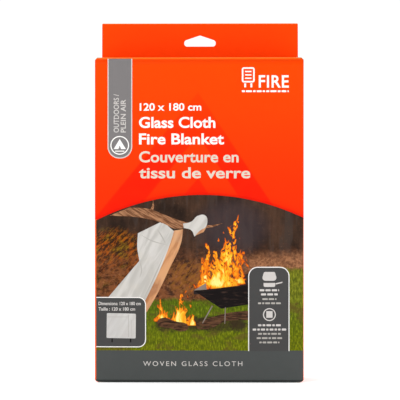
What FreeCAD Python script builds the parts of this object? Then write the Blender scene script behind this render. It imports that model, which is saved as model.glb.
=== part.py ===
import FreeCAD, Part
import Sketcher
import os

# A hanging retail carton of folding boxboard, with a folded woven glass cloth fire blanket
# inside it. Origin: centre of the carton's footprint, on the surface that it stands on.
# +Z is up, -Y is the printed front and +X is the right-hand side seen from the front.

doc = FreeCAD.newDocument("fireBlanketCarton")
vector = FreeCAD.Vector

# Driving dimensions in millimetres
driving = {
    "bodyWidth": 156.0,
    "bodyHeight": 243.0,
    "bodyDepth": 42.0,
    "board": 0.6,
    "glueFilm": 0.1,
    "headerWidth": 151.0,
    "headerRise": 29.5,
    "headerCorner": 1.0,
    "plyTuck": 18.0,
    "holeWidth": 24.3,
    "holeBase": 11.6,
    "holeSide": 4.6,
    "holeTall": 8.7,
    "holeCorner": 2.3,
    "holeApex": 1.2,
    "seamWidth": 14.0,
    "seamInset": 8.0,
    "lipTall": 10.0,
    "lipClearance": 1.5,
    "lipInset": 4.0,
    "lipCorner": 4.0,
    "flapInset": 0.7,
    "dustLong": 46.0,
    "dustGap": 0.3,
    "dustBackTaper": 5.0,
    "dustCorner": 3.0,
    "blanketWide": 150.0,
    "blanketTall": 225.0,
    "blanketThick": 33.0,
    "blanketFold": 12.0,
    "tapeWide": 25.0,
    "tapeThick": 3.0,
    "tapeLong": 94.0,
    "tapeBase": 6.0,
    "tapeSpread": 38.0,
    "fitGap": 0.1,
    "stitchLong": 3.2,
    "stitchWide": 0.6,
    "stitchProud": 0.2,
    "stitchPitch": 5.0,
}
# Sizes worked out from the driving ones
derived = {
    "halfWidth": "=bodyWidth / 2",
    "halfDepth": "=bodyDepth / 2",
    "halfHeader": "=headerWidth / 2",
    "halfHole": "=holeWidth / 2",
    "insideBack": "=bodyDepth / 2 - board",
    "plyFace": "=insideBack - glueFilm - board",
    "lipFace": "=plyFace - lipClearance",
    "dustBack": "=lipFace - board - dustGap",
    "dustFront": "=dustGap + board - halfDepth",
    "halfLip": "=halfWidth - lipInset",
    "halfFlap": "=halfWidth - flapInset",
    "tapeFront": "=board + dustGap - halfDepth",
    "blanketFront": "=tapeFront + tapeThick + fitGap",
}

sizes = doc.addObject("Spreadsheet::Sheet", "sizes")
for row, (alias, value) in enumerate({**driving, **derived}.items(), start=1):
    sizes.set(f"A{row}", alias)
    sizes.set(f"B{row}", str(value))
    sizes.setAlias(f"B{row}", alias)
    doc.recompute()

parts = []


def size(alias):
    return float(sizes.get(alias))


def bind(thing, prop, expression):
    """Binds a property to an expression whose plain names are the sheet's aliases."""
    for alias in sorted([*driving, *derived], key=len, reverse=True):
        expression = expression.replace(f"[{alias}]", f"sizes.{alias}")
    thing.setExpression(prop, expression)


def place(thing, x="0", y="0", z="0"):
    for axis, expression in zip("xyz", (x, y, z)):
        bind(thing, f"Placement.Base.{axis}", expression)


def plate(label, spans, corner):
    """A rectangular panel: its length, width and height, and its lowest corner."""
    box = doc.addObject("Part::Box", label)
    for prop, expression in zip(("Length", "Width", "Height"), spans):
        bind(box, prop, expression)
    place(box, *corner)
    parts.append(box)


def outlineSketch(body, plane, name, points, guess):
    """A closed polygon whose corners are held at points, two expressions each."""
    sketch = body.newObject("Sketcher::SketchObject", name)
    support = [f for f in body.Origin.OriginFeatures if f.Role == plane][0]
    sketch.AttachmentSupport = [(support, "")]
    sketch.MapMode = "FlatFace"
    count = len(points)
    for i in range(count):
        begin = vector(*guess[i], 0)
        end = vector(*guess[(i + 1) % count], 0)
        sketch.addGeometry(Part.LineSegment(begin, end))
    for i in range(count):
        sketch.addConstraint(Sketcher.Constraint("Coincident", i, 2, (i + 1) % count, 1))
    for i in range(count):
        for axis in range(2):
            kind = ("DistanceX", "DistanceY")[axis]
            rule = Sketcher.Constraint(kind, -1, 1, i, 1, float(guess[i][axis]))
            index = sketch.addConstraint(rule)
            bind(sketch, f"Constraints[{index}]", points[i][axis])
    doc.recompute()
    return sketch


def evaluated(points):
    """The points as numbers, with the sheet's values, to start a sketch from."""
    known = {f"[{alias}]": f"{size(alias)}" for alias in [*driving, *derived]}
    result = []
    for point in points:
        pair = []
        for expression in point:
            for alias, value in known.items():
                expression = expression.replace(alias, f"({value})")
            pair.append(float(FreeCAD.Units.Quantity(expression).Value))
        result.append(pair)
    return result


def newBody(label):
    body = doc.addObject("PartDesign::Body", label)
    parts.append(body)
    return body


def extrude(body, sketch, length, kind="PartDesign::Pad", both=False):
    feature = body.newObject(kind, f"{sketch.Name}Solid")
    feature.Profile = sketch
    if both:
        feature.Midplane = True
    bind(feature, "Length", length)
    doc.recompute()
    return feature


def roundEdges(body, base, name, radius, along, near):
    """Fillets the straight edges that run along an axis and that near() accepts."""
    chosen = []
    for index, edge in enumerate(base.Shape.Edges, start=1):
        middle = edge.BoundBox.Center
        spread = (edge.BoundBox.XLength, edge.BoundBox.YLength, edge.BoundBox.ZLength)
        others = [spread[k] for k in range(3) if k != along]
        if spread[along] > 0.01 and max(others) < 0.01 and near(middle):
            chosen.append(f"Edge{index}")
    fillet = body.newObject("PartDesign::Fillet", name)
    fillet.Base = (base, chosen)
    bind(fillet, "Radius", radius)
    doc.recompute()
    return fillet


# Four walls of the sleeve. The closures lie over the front wall's edges, and the dust flaps
# over the side walls' edges, so each of those walls stops short by the board that covers it.
plate(
    "front_panel",
    ("[bodyWidth]", "[board]", "[bodyHeight] - 2 * [board]"),
    ("-[halfWidth]", "-[halfDepth]", "[board]"),
)
plate(
    "back_panel",
    ("[bodyWidth]", "[board]", "[bodyHeight]"),
    ("-[halfWidth]", "[insideBack]", "0"),
)
for side, wallX in (("left", "-[halfWidth]"), ("right", "[halfWidth] - [board]")):
    plate(
        f"{side}_side_panel",
        ("[board]", "[bodyDepth] - 2 * [board]", "[bodyHeight] - 4 * [board]"),
        (wallX, "[board] - [halfDepth]", "2 * [board]"),
    )

# The maker's seam: a flap folded in from the left wall and glued to the back wall
plate(
    "glue_flap",
    ("[seamWidth]", "[board]", "[bodyHeight] - [plyTuck] - 2 * [seamInset]"),
    ("[board] - [halfWidth]", "[plyFace]", "[seamInset]"),
)
plate(
    "seam_glue",
    ("[seamWidth] - 4", "[glueFilm]", "[bodyHeight] - [plyTuck] - 2 * [seamInset] - 4"),
    ("[board] - [halfWidth] + 2", "[insideBack] - [glueFilm]", "[seamInset] + 2"),
)


def hangPanel(label, bottom, face):
    """One ply of the hang header, with the delta hole that a display hook goes through."""
    body = newBody(label)
    outline = [
        ("-[halfHeader]", bottom),
        ("[halfHeader]", bottom),
        ("[halfHeader]", "[headerRise]"),
        ("-[halfHeader]", "[headerRise]"),
    ]
    sketch = outlineSketch(body, "XZ_Plane", f"{label}Outline", outline, evaluated(outline))
    pad = extrude(body, sketch, "[board]")
    top = size("headerRise")
    corners = roundEdges(
        body, pad, f"{label}Corners", "[headerCorner]", 1, lambda at: at.z > top - 0.1
    )
    shoulder = "[holeBase] + [holeSide]"
    hole = [
        ("-[halfHole]", "[holeBase]"),
        ("[halfHole]", "[holeBase]"),
        ("[halfHole]", shoulder),
        ("0", "[holeBase] + [holeTall]"),
        ("-[halfHole]", shoulder),
    ]
    cut = outlineSketch(body, "XZ_Plane", f"{label}Hole", hole, evaluated(hole))
    pocket = extrude(body, cut, "3 * [board]", "PartDesign::Pocket", both=True)
    if pocket.Shape.Volume > corners.Shape.Volume - 10:
        raise RuntimeError(f"{label}: the hang hole isn't cut")
    reach = size("halfHole")
    ends = roundEdges(
        body,
        pocket,
        f"{label}HoleEnds",
        "[holeCorner]",
        1,
        lambda at: abs(abs(at.x) - reach) < 0.1 and 0 < at.z < top - 2,
    )
    apexZ = size("holeBase") + size("holeTall")
    roundEdges(
        body,
        ends,
        f"{label}HoleApex",
        "[holeApex]",
        1,
        lambda at: abs(at.x) < 0.1 and abs(at.z - apexZ) < 0.2,
    )
    place(body, y=face, z="[bodyHeight]")


# The back wall runs on above the carton as the header, folds forward over its top edge and
# comes down inside the carton as a second ply, so that both faces of the header are printed.
hangPanel("hang_header", "0", "[halfDepth]")
hangPanel("header_front_ply", "-[plyTuck]", "[plyFace] + [board]")
plate(
    "header_glue",
    ("[headerWidth] - 10", "[glueFilm]", "[plyTuck] + [holeBase] - 6"),
    ("5 - [halfHeader]", "[insideBack] - [glueFilm]", "[bodyHeight] - [plyTuck] + 3"),
)


def closure(end, flapZ, dustZ, lipZ, lipSide):
    """A straight tuck closure at one end: the flap, its lip and the two dust flaps."""
    flap = newBody(f"{end}_flap")
    front = "-[halfDepth]"
    flapOutline = [
        ("-[halfFlap]", front),
        ("[halfFlap]", front),
        ("[halfFlap]", "[lipFace]"),
        ("-[halfFlap]", "[lipFace]"),
    ]
    sketch = outlineSketch(
        flap, "XY_Plane", f"{end}FlapOutline", flapOutline, evaluated(flapOutline)
    )
    extrude(flap, sketch, "[board]")
    place(flap, z=flapZ)

    lip = newBody(f"{end}_tuck_lip")
    tip = f"{lipSide}[lipTall]"
    lipOutline = [
        ("-[halfLip]", "0"),
        ("[halfLip]", "0"),
        ("[halfLip]", tip),
        ("-[halfLip]", tip),
    ]
    sketch = outlineSketch(
        lip, "XZ_Plane", f"{end}LipOutline", lipOutline, evaluated(lipOutline)
    )
    pad = extrude(lip, sketch, "[board]")
    roundEdges(lip, pad, f"{end}LipCorners", "[lipCorner]", 1, lambda at: abs(at.z) > 1)
    place(lip, y="[lipFace]", z=lipZ)

    for side, sign in (("left", "-"), ("right", "")):
        dust = newBody(f"{end}_dust_flap_{side}")
        root = f"{sign}[halfWidth]"
        reach = f"{sign}([halfWidth] - [dustLong])"
        # the edge beside the closure's crease slopes, so that the flap above it clears it
        dustOutline = [
            (root, "[dustFront]"),
            (reach, "[dustFront] + [dustLong] / 2"),
            (reach, "[dustBack] - [dustBackTaper]"),
            (root, "[dustBack]"),
        ]
        sketch = outlineSketch(
            dust, "XY_Plane", f"{end}Dust{side}Outline", dustOutline, evaluated(dustOutline)
        )
        pad = extrude(dust, sketch, "[board]")
        inner = size("halfWidth") - size("dustLong")
        roundEdges(
            dust,
            pad,
            f"{end}Dust{side}Corners",
            "[dustCorner]",
            2,
            lambda at: abs(abs(at.x) - inner) < 0.1,
        )
        place(dust, z=dustZ)


closure("top", "[bodyHeight] - [board]", "[bodyHeight] - 2 * [board]", "[bodyHeight] - [board]", "-")
closure("bottom", "0", "[board]", "[board]", "")

# The blanket, folded to a block whose side edges are folds, standing on the dust flaps
blanket = newBody("blanket")
blanketBottom = "2 * [board] + [fitGap]"
blanketOutline = [
    ("-[blanketWide] / 2", blanketBottom),
    ("[blanketWide] / 2", blanketBottom),
    ("[blanketWide] / 2", f"{blanketBottom} + [blanketTall]"),
    ("-[blanketWide] / 2", f"{blanketBottom} + [blanketTall]"),
]
blanketSketch = outlineSketch(
    blanket, "XZ_Plane", "blanketOutline", blanketOutline, evaluated(blanketOutline)
)
blanketPad = extrude(blanket, blanketSketch, "[blanketThick]")
roundEdges(blanket, blanketPad, "blanketFolds", "[blanketFold]", 2, lambda at: True)
place(blanket, y="[blanketFront] + [blanketThick]")


def tapeMiddle(sign):
    return f"{sign}[tapeSpread]"


# Two pull tapes: loops of webbing pressed flat against the blanket's front face
for side, sign in (("left", "-"), ("right", "")):
    tape = newBody(f"pull_tape_{side}")
    tapeOutline = [
        ("-[tapeWide] / 2", "[tapeBase]"),
        ("[tapeWide] / 2", "[tapeBase]"),
        ("[tapeWide] / 2", "[tapeBase] + [tapeLong]"),
        ("-[tapeWide] / 2", "[tapeBase] + [tapeLong]"),
    ]
    tapeSketch = outlineSketch(
        tape, "XZ_Plane", f"tape{side}Outline", tapeOutline, evaluated(tapeOutline)
    )
    tapePad = extrude(tape, tapeSketch, "[tapeThick]")
    lowest = size("tapeBase")
    roundEdges(
        tape, tapePad, f"tape{side}Bend", "[tapeThick] * 0.45", 0, lambda at: at.z < lowest + 0.1
    )
    place(tape, x=tapeMiddle(sign), y="[tapeFront] + [tapeThick]")


# The thread that holds each tape to the blanket: a square of stitches near its upper end
def stitchSquare(middle):
    across = size("tapeWide") - 2 * size("stitchPitch") + size("stitchWide")
    steps = int(across // size("stitchPitch")) + 1
    top = size("tapeBase") + size("tapeLong") - size("stitchPitch")
    face = size("tapeFront")
    long, wide, proud = size("stitchLong"), size("stitchWide"), size("stitchProud")
    pitch = size("stitchPitch")
    firstX = middle - (steps - 1) * pitch / 2
    stitches = []
    for i in range(steps):
        for level in (top, top - (steps + 1) * pitch):
            corner = vector(firstX + i * pitch - long / 2, face - proud, level - wide / 2)
            stitches.append(Part.makeBox(long, proud, wide, corner))
    for i in range(steps):
        for edge in (-1, 1):
            x = middle + edge * (steps * pitch / 2) - wide / 2
            z = top - (i + 1) * pitch - long / 2
            stitches.append(Part.makeBox(wide, proud, long, vector(x, face - proud, z)))
    return stitches


stitching = doc.addObject("Part::Feature", "tape_stitching")
stitching.Shape = Part.makeCompound(
    stitchSquare(-size("tapeSpread")) + stitchSquare(size("tapeSpread"))
)
stitching.Placement = FreeCAD.Placement()
parts.append(stitching)

doc.recompute()
for thing in doc.Objects:
    if "Invalid" in thing.State or "Error" in thing.State:
        raise RuntimeError(f"{thing.Label} failed: {thing.State}")
for part in parts:
    if part.Shape.isNull() or not part.Shape.isValid():
        raise RuntimeError(f"{part.Label} has no valid shape")

os.makedirs("parts", exist_ok=True)
for part in parts:
    part.Shape.exportStep(f"parts/{part.Label}.step")
    box = part.Shape.BoundBox
    print(
        f"{part.Label:24s} {len(part.Shape.Solids):3d} solid(s) {part.Shape.Volume:12.1f} mm3"
        f"  x {box.XMin:8.2f} {box.XMax:8.2f}  y {box.YMin:7.2f} {box.YMax:7.2f}"
        f"  z {box.ZMin:7.2f} {box.ZMax:7.2f}"
    )
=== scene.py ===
import bpy
import bmesh
import math
import random
from mathutils import Matrix, Vector


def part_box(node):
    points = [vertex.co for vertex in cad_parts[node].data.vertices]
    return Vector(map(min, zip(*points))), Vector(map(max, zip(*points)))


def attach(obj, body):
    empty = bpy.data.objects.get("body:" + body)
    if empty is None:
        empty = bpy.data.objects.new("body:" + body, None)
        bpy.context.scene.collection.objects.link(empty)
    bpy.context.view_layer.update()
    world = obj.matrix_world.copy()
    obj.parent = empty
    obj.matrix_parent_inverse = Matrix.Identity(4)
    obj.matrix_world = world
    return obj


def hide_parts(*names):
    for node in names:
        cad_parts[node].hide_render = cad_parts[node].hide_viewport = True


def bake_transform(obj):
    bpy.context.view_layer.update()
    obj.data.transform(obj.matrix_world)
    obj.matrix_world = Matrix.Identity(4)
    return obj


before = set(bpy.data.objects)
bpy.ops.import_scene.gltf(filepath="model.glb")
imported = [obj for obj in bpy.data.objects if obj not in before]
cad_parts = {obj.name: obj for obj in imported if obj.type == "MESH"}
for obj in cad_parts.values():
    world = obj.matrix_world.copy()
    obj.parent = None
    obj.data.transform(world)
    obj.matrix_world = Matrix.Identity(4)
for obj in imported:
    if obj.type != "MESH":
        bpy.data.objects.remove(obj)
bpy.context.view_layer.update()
mm = 0.001

# sizes that the whole carton shares, read from the frame
backLow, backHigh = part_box("back_panel")
halfWide = backHigh.x
bodyTop = backHigh.z
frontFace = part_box("front_panel")[0].y
backFace = backHigh.y
board = backHigh.y - backLow.y
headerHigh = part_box("hang_header")[1]

carton = {
    "swellFront": 2 * mm,
    "swellBack": 1.1 * mm,
    "sidePull": 0.5 * mm,
    "cornerRadius": 1.2 * mm,
    "creaseRadius": 2.2 * mm,
    "cornerSteps": 6,
    "gridStep": 4 * mm,
}


# the walls are swollen by the blanket inside, and their corners are rounded
def swell(x, z, most):
    across = 1 - (x / halfWide) ** 2
    up = 1 - (2 * z / bodyTop - 1) ** 4
    return most * max(across, 0) * max(up, 0)


def cornerTurn(x):
    # how far a rounded corner draws the front or the back in
    radius = carton["cornerRadius"]
    past = max(abs(x) - (halfWide - radius), 0)
    return radius - math.sqrt(max(radius * radius - past * past, 0))


def frontSurface(x, z):
    return frontFace + cornerTurn(x) - swell(x, z, carton["swellFront"])


def backSurface(x, z):
    return backFace - cornerTurn(x) + swell(x, z, carton["swellBack"])


def sideSurface(y, z):
    inward = (1 - (y / backFace) ** 2) * (1 - (2 * z / bodyTop - 1) ** 4)
    return halfWide - carton["sidePull"] * inward


# shader maths: a Wire is one value in a material, and a Paint is the material being made
def maths(operation, reflected=False):
    def node(wire, *others):
        values = [*others, wire] if reflected else [wire, *others]
        return wire.paint.add("ShaderNodeMath", {"operation": operation}, dict(enumerate(values)))

    return node


class Wire:
    def __init__(self, paint, socket):
        self.paint = paint
        self.socket = socket

    __add__ = __radd__ = maths("ADD")
    __sub__ = maths("SUBTRACT")
    __rsub__ = maths("SUBTRACT", True)
    __mul__ = __rmul__ = maths("MULTIPLY")
    __truediv__ = maths("DIVIDE")
    __gt__ = maths("GREATER_THAN")
    __lt__ = maths("LESS_THAN")
    __abs__ = maths("ABSOLUTE")
    least = maths("MINIMUM")
    most = maths("MAXIMUM")
    wave = maths("SINE")

    def soft(self, low, high):
        # 0 up to low and 1 from high on
        values = {0: self, 1: low, 2: high, 3: 0, 4: 1}
        return self.paint.add("ShaderNodeMapRange", {"interpolation_type": "SMOOTHSTEP"}, values)


def ink(red, green, blue):
    def linear(value):
        share = value / 255
        return share / 12.92 if share <= 0.04045 else ((share + 0.055) / 1.055) ** 2.4

    return (linear(red), linear(green), linear(blue), 1)


class Paint:
    def __init__(self, name, roughness=0.5, specular=0.5, sheen=0):
        self.material = bpy.data.materials.new(name)
        self.material.use_nodes = True
        self.tree = self.material.node_tree
        self.shader = self.tree.nodes["Principled BSDF"]
        self.shader.inputs["Roughness"].default_value = roughness
        self.shader.inputs["Specular IOR Level"].default_value = specular
        self.shader.inputs["Sheen Weight"].default_value = sheen

    def add(self, kind, settings=None, values=None, output=0):
        node = self.tree.nodes.new(kind)
        for key, value in (settings or {}).items():
            if key == "stops":
                ramp = node.color_ramp
                while len(ramp.elements) < len(value):
                    ramp.elements.new(0.5)
                for element, (place, colour) in zip(ramp.elements, value):
                    element.position = place
                    element.color = ink(*colour)
            else:
                setattr(node, key, value)
        for key, value in (values or {}).items():
            if isinstance(value, Wire):
                self.tree.links.new(value.socket, node.inputs[key])
            else:
                node.inputs[key].default_value = value
        return Wire(self, node.outputs[output])

    def apart(self, vector):
        # the three parts of a vector in metres, in millimetres
        split = self.add("ShaderNodeSeparateXYZ", None, {0: vector}).socket.node
        return [Wire(self, split.outputs[k]) * 1000 for k in range(3)]

    def place(self):
        return self.apart(self.add("ShaderNodeTexCoord", output=3))

    def point(self, x, y, z=0):
        return self.add("ShaderNodeCombineXYZ", None, {0: x, 1: y, 2: z})

    def noise(self, place, scale=1, detail=3, rough=0.55, warp=0):
        values = {"Scale": scale, "Detail": detail, "Roughness": rough, "Distortion": warp}
        return self.add("ShaderNodeTexNoise", None, {"Vector": self.point(*place), **values})

    def mix(self, share, first, second):
        # colours are wires, or red, green and blue up to 255
        first, second = (ink(*c) if isinstance(c, tuple) else c for c in (first, second))
        settings = {"data_type": "RGBA", "clamp_factor": True}
        return self.add("ShaderNodeMix", settings, {0: share, 6: first, 7: second}, 2)

    def over(self, colour, *layers):
        for share, top in layers:
            colour = self.mix(share, colour, top)
        return colour

    def ramp(self, share, *stops):
        return self.add("ShaderNodeValToRGB", {"stops": stops}, {0: share})

    def feed(self, name, wire):
        self.tree.links.new(wire.socket, self.shader.inputs[name])

    def bump(self, height, strength, distance):
        values = {"Strength": strength, "Distance": distance, "Height": height}
        self.feed("Normal", self.add("ShaderNodeBump", None, values))

    def done(self, colour):
        self.feed("Base Color", colour)
        return self.material


# materials
boardFinish = {"roughness": 0.45, "specular": 0.07}


def boardPaint(name, strength=0.12, **finish):
    # a material with the fine and the broad unevenness of board
    paint = Paint(name, **{**boardFinish, **finish})
    x, y, z = paint.place()
    fine = paint.noise((x, y, z), 3.2, 4, 0.6)
    broad = paint.noise((x, y, z), 0.16, 2, 0.5)
    paint.bump(fine * 0.35 + broad, strength, 0.25 * mm)
    return paint, x, y, z, fine, broad


chevrons = {
    "apexX": -0.8,
    "apexZ": 216.8,
    "leftSlope": 0.82,
    "rightSlope": 0.66,
    "band": 32,
    "soften": 1.6,
}
arch = {"middle": 2.3, "peak": 140.2, "radius": 174.4}


def orangeBoard():
    paint, x, y, z, fine, broad = boardPaint("orange printed board")
    # one chevron in another, fading in downwards
    drop = chevrons["apexZ"] - z
    left = (chevrons["apexX"] - x) / chevrons["leftSlope"]
    right = (x - chevrons["apexX"]) / chevrons["rightSlope"]
    inside = drop - left.most(right)
    soft, band = chevrons["soften"], chevrons["band"]
    outer = inside.soft(-soft, soft) - inside.soft(band - soft, band + soft)
    inner = inside.soft(2 * band - soft, 2 * band + soft)
    front = y < (frontFace / mm + 1)
    dark = (outer + inner * 0.85) * (drop.soft(-10, 75) * 0.75 + 0.25) * front
    # the shade over the picture's arch
    bend = (x - arch["middle"]) * (x - arch["middle"]) / (2 * arch["radius"])
    above = z - arch["peak"] + bend * (bend / (2 * arch["radius"]) + 1)
    shade = (1 - above.soft(-0.5, 3.4)) * 0.6 + (1 - above.soft(0, 8)) * 0.4
    # a painted highlight, lighter orange, along the top crease and the header's top, broken up by fine
    # noise
    crease = z.soft(241.2, 242.6) * (y < (frontFace / mm + 2.6))
    wearAndHighlight = (crease + z.soft(271.6, 272.3)) * fine.soft(0.2, 0.6)
    sliver = (abs(x) > 76.6) * (z < 122) * front
    base = paint.over(
        (255, 71, 0),
        ((1 - z.soft(118, 246)) * front, (255, 46, 0)),
        (dark * 0.8, (250, 20, 0)),
        (shade * front * (above > -3) * 0.85, (214, 16, 0)),
        (broad.soft(0.35, 0.75) * 0.08, (238, 52, 0)),
        # the painted highlight on the top crease and the header's top
        (wearAndHighlight * 0.95, (255, 134, 30)),
        (sliver * 0.8, (246, 108, 40)),
    )
    paint.feed("Roughness", fine * 0.12 + 0.36)
    return paint.done(base)


def rawBoard():
    paint, x, y, z, fine, broad = boardPaint("raw board inside", 0.3, roughness=0.85, specular=0.25)
    fleck = paint.noise((x, y, z), 1.4, 2, 0.7).soft(0.62, 0.72)
    base = paint.mix(broad, (196, 186, 168), (214, 206, 190))
    return paint.done(paint.mix(fleck * 0.35, base, (150, 138, 120)))


def cutEdge():
    paint, x, y, z, fine, broad = boardPaint("cut board edge", 0.5, roughness=0.9, specular=0.2)
    return paint.done(paint.mix(fine, (190, 150, 120), (226, 206, 180)))


def plainInk(name, colour, other):
    paint, x, y, z, fine, broad = boardPaint(name, roughness=0.42)
    return paint.done(paint.mix(broad, colour, other))


def oval(x, z, middle, high, wide, tall):
    # 1 in the middle of a spot, 0 on its edge
    across = (x - middle) / wide
    up = (z - high) / tall
    return 1 - (across * across + up * up)


def flame(paint, x, z, look):
    v = (z - look["base"]) / look["tall"]
    seed = look["seed"]
    sway = paint.noise((x * 0.06, z * 0.05, seed), 1, 2)
    lick = paint.noise((x * 0.17, z * 0.075, seed + 3), 1, 3, 0.6, 0.9)
    curl = paint.noise((x * 0.3, z * 0.16, seed + 6), 1, 2, 0.5, 1.4)
    u = (x - look["middle"] - v * look["lean"]) / (look["wide"] / 2)
    u = u + (sway - 0.5) * 1.6 * (v + 0.25)
    body = (1 - v.most(0)) * 0.95 + 0.10 - abs(u) * (v * 0.5 + 0.62)
    heat = body + (lick - 0.5) * (v * 1.5 + 1.6) - curl.soft(0.46, 0.64) * (v * 0.35 + 0.42)
    heat = heat * v.soft(-0.05, 0.06) * (1 - v.soft(0.95, 1.12))
    colour = paint.ramp(
        heat,
        (0, (120, 45, 12)),
        (0.12, (218, 88, 12)),
        (0.32, (244, 142, 22)),
        (0.62, (252, 198, 48)),
        (0.95, (255, 238, 140)),
    )
    return heat.soft(0.02, 0.14), colour


fires = (
    {"middle": 4.6, "base": 71, "tall": 34, "wide": 11, "lean": 0.6, "seed": 14},
    {"middle": 29, "base": 74, "tall": 22, "wide": 9, "lean": 0, "seed": 17},
    {"middle": 14.5, "base": 71, "tall": 51, "wide": 28, "lean": 11, "seed": 4},
    {"middle": -27.5, "base": 46, "tall": 17, "wide": 8, "lean": -1, "seed": 21},
    {"middle": -4.5, "base": 43, "tall": 8, "wide": 8, "lean": 1, "seed": 25},
    {"middle": -16.5, "base": 42, "tall": 28, "wide": 15, "lean": 7, "seed": 9},
)


def pictureInk():
    paint, x, y, z = boardPaint("printed picture")[:4]
    # the wood
    blotch = paint.noise((x, z * 0.6, 1), 0.06, 4, 0.6)
    trunks = paint.noise((x * 0.16, z * 0.022, 2), 1, 3, 0.55, 0.4)
    fine = paint.noise((x, z, 3), 0.55, 4, 0.65)
    wood = paint.mix(blotch.soft(0.3, 0.7), (38, 27, 21), (80, 56, 42))
    # the undergrowth, the fallen leaves, the bank and the smoke
    leaf = paint.noise(((x + z) * 0.13, (x - z) * 0.36, 5), 1, 5, 0.72, 0.5)
    hue = paint.noise((x, z, 15), 0.1, 3, 0.6)
    gold = paint.mix(hue.soft(0.42, 0.62), (180, 88, 12), (140, 106, 18))
    gold = paint.mix(leaf.soft(0.42, 0.62), (44, 26, 14), gold)
    clumps = paint.noise((x, z * 1.4, 6), 0.16, 5, 0.7, 0.5)
    litter = paint.mix(clumps.soft(0.36, 0.6), (48, 26, 18), (128, 76, 44))
    litter = paint.mix(fine.soft(0.5, 0.72) * 0.6, litter, (168, 112, 74))
    beside = oval(x, z, -7, 78, 16, 13).soft(-0.6, 0.6) * leaf.soft(0.4, 0.6)
    slope = x.soft(10, 76) * 3 + 84
    bank = (z - slope + 1).soft(-3, 1) * (1 - (z - slope - 9).soft(-5, 5))
    bank = bank * x.soft(14, 50) * (clumps.soft(0.3, 0.6) * 0.4 + 0.6)
    pale = paint.mix(fine.soft(0.36, 0.66), (118, 76, 52), (168, 116, 80))
    # the grass
    edge = x.soft(5, 60) * 23 + 62.5 + (blotch - 0.5) * 8
    blades = paint.noise((x * 0.9, z * 0.28, 7), 1, 4, 0.7)
    patch = paint.noise((x, z * 2, 8), 0.07, 3, 0.6)
    grass = paint.over(
        paint.mix(z.soft(24, 60), (116, 124, 6), (92, 112, 12)),
        (x.soft(20, 70) * z.soft(36, 70), (122, 126, 30)),
        (blades.soft(0.6, 0.38) * 0.7, (52, 62, 12)),
        (blades.soft(0.56, 0.72) * 0.55, (168, 176, 52)),
        (patch.soft(0.5, 0.66) * 0.6, (92, 70, 34)),
    )
    colour = paint.over(
        wood,
        (trunks.soft(0.5, 0.66) * 0.75, (66, 54, 48)),
        (trunks.soft(0.56, 0.34) * 0.5, (38, 26, 20)),
        (fine.soft(0.55, 0.8) * 0.35, (112, 80, 56)),
        (oval(x, z, -64, 90, 25, 22).soft(-0.7, 0.4) * 0.9, gold),
        ((1 - z.soft(78, 108)) * (clumps * 0.6 + 0.5), litter),
        (beside * 0.6, (150, 96, 34)),
        (bank, pale),
        (oval(x, z, 24, 116, 34, 26).soft(0, 0.9) * 0.6, (66, 56, 60)),
        ((edge - z).soft(-1.5, 2.5), grass),
    )
    # scorched ground under the fires, and the inside of the fire bowl behind its flames
    for fire in fires:
        scorch = oval(x, z, fire["middle"], 44, fire["wide"] * 0.85, 7) + (fine - 0.5) * 1.4
        colour = paint.mix(scorch.soft(0, 0.8) * 0.75, colour, (50, 34, 26))
    rim = (x * 0.63 + 71.6).least(x * 0.2 + 74.1)
    inside = (rim - z).soft(-0.3, 0.3) * (z > 66) * (x > -4.2) * (x < 40)
    colour = paint.mix(inside, colour, paint.mix(fine, (26, 20, 20), (62, 50, 46)))
    for fire in fires:
        share, hot = flame(paint, x, z, fire)
        colour = paint.mix(share, colour, hot)
    return paint.done(colour)


def clothInk(name, light, dark, warm):
    paint, x, y, z = boardPaint(name)[:4]
    along = z * 0.88 + x * 0.47
    across = x * 0.88 - z * 0.47
    folds = paint.noise((across * 0.22, along * 0.035, 2), 1, 3, 0.5, 0.5)
    stain = paint.noise((x, z, 4), 0.09, 3, 0.6)
    colour = paint.mix(folds.soft(0.34, 0.66), dark, light)
    return paint.done(paint.mix(stain.soft(0.45, 0.75) * 0.45, colour, warm))


def barkInk():
    paint, x, y, z = boardPaint("printed branch")[:4]
    along = x * 0.86 - z * 0.5
    across = z * 0.86 + x * 0.5
    grain = paint.noise((along * 0.1, across * 0.7, 2), 1, 4, 0.6, 0.8)
    return paint.done(paint.mix(grain.soft(0.36, 0.66), (104, 66, 44), (178, 128, 92)))


def logInk():
    paint, x, y, z = boardPaint("printed logs")[:4]
    grain = paint.noise((x * 0.12, z * 0.8, 6), 1, 4, 0.65, 0.6)
    moss = paint.noise((x, z, 7), 0.3, 3, 0.6)
    colour = paint.mix(grain.soft(0.36, 0.64), (40, 26, 20), (104, 70, 48))
    return paint.done(paint.mix(moss.soft(0.55, 0.7) * 0.6, colour, (58, 62, 24)))


def bowlInk():
    paint, x, y, z = boardPaint("printed fire bowl")[:4]
    wearAndHighlight = paint.noise((x * 0.12, z * 0.6, 1), 1, 4, 0.6)
    return paint.done(paint.mix(wearAndHighlight.soft(0.5, 0.8), (22, 17, 17), (72, 54, 46)))


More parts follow.
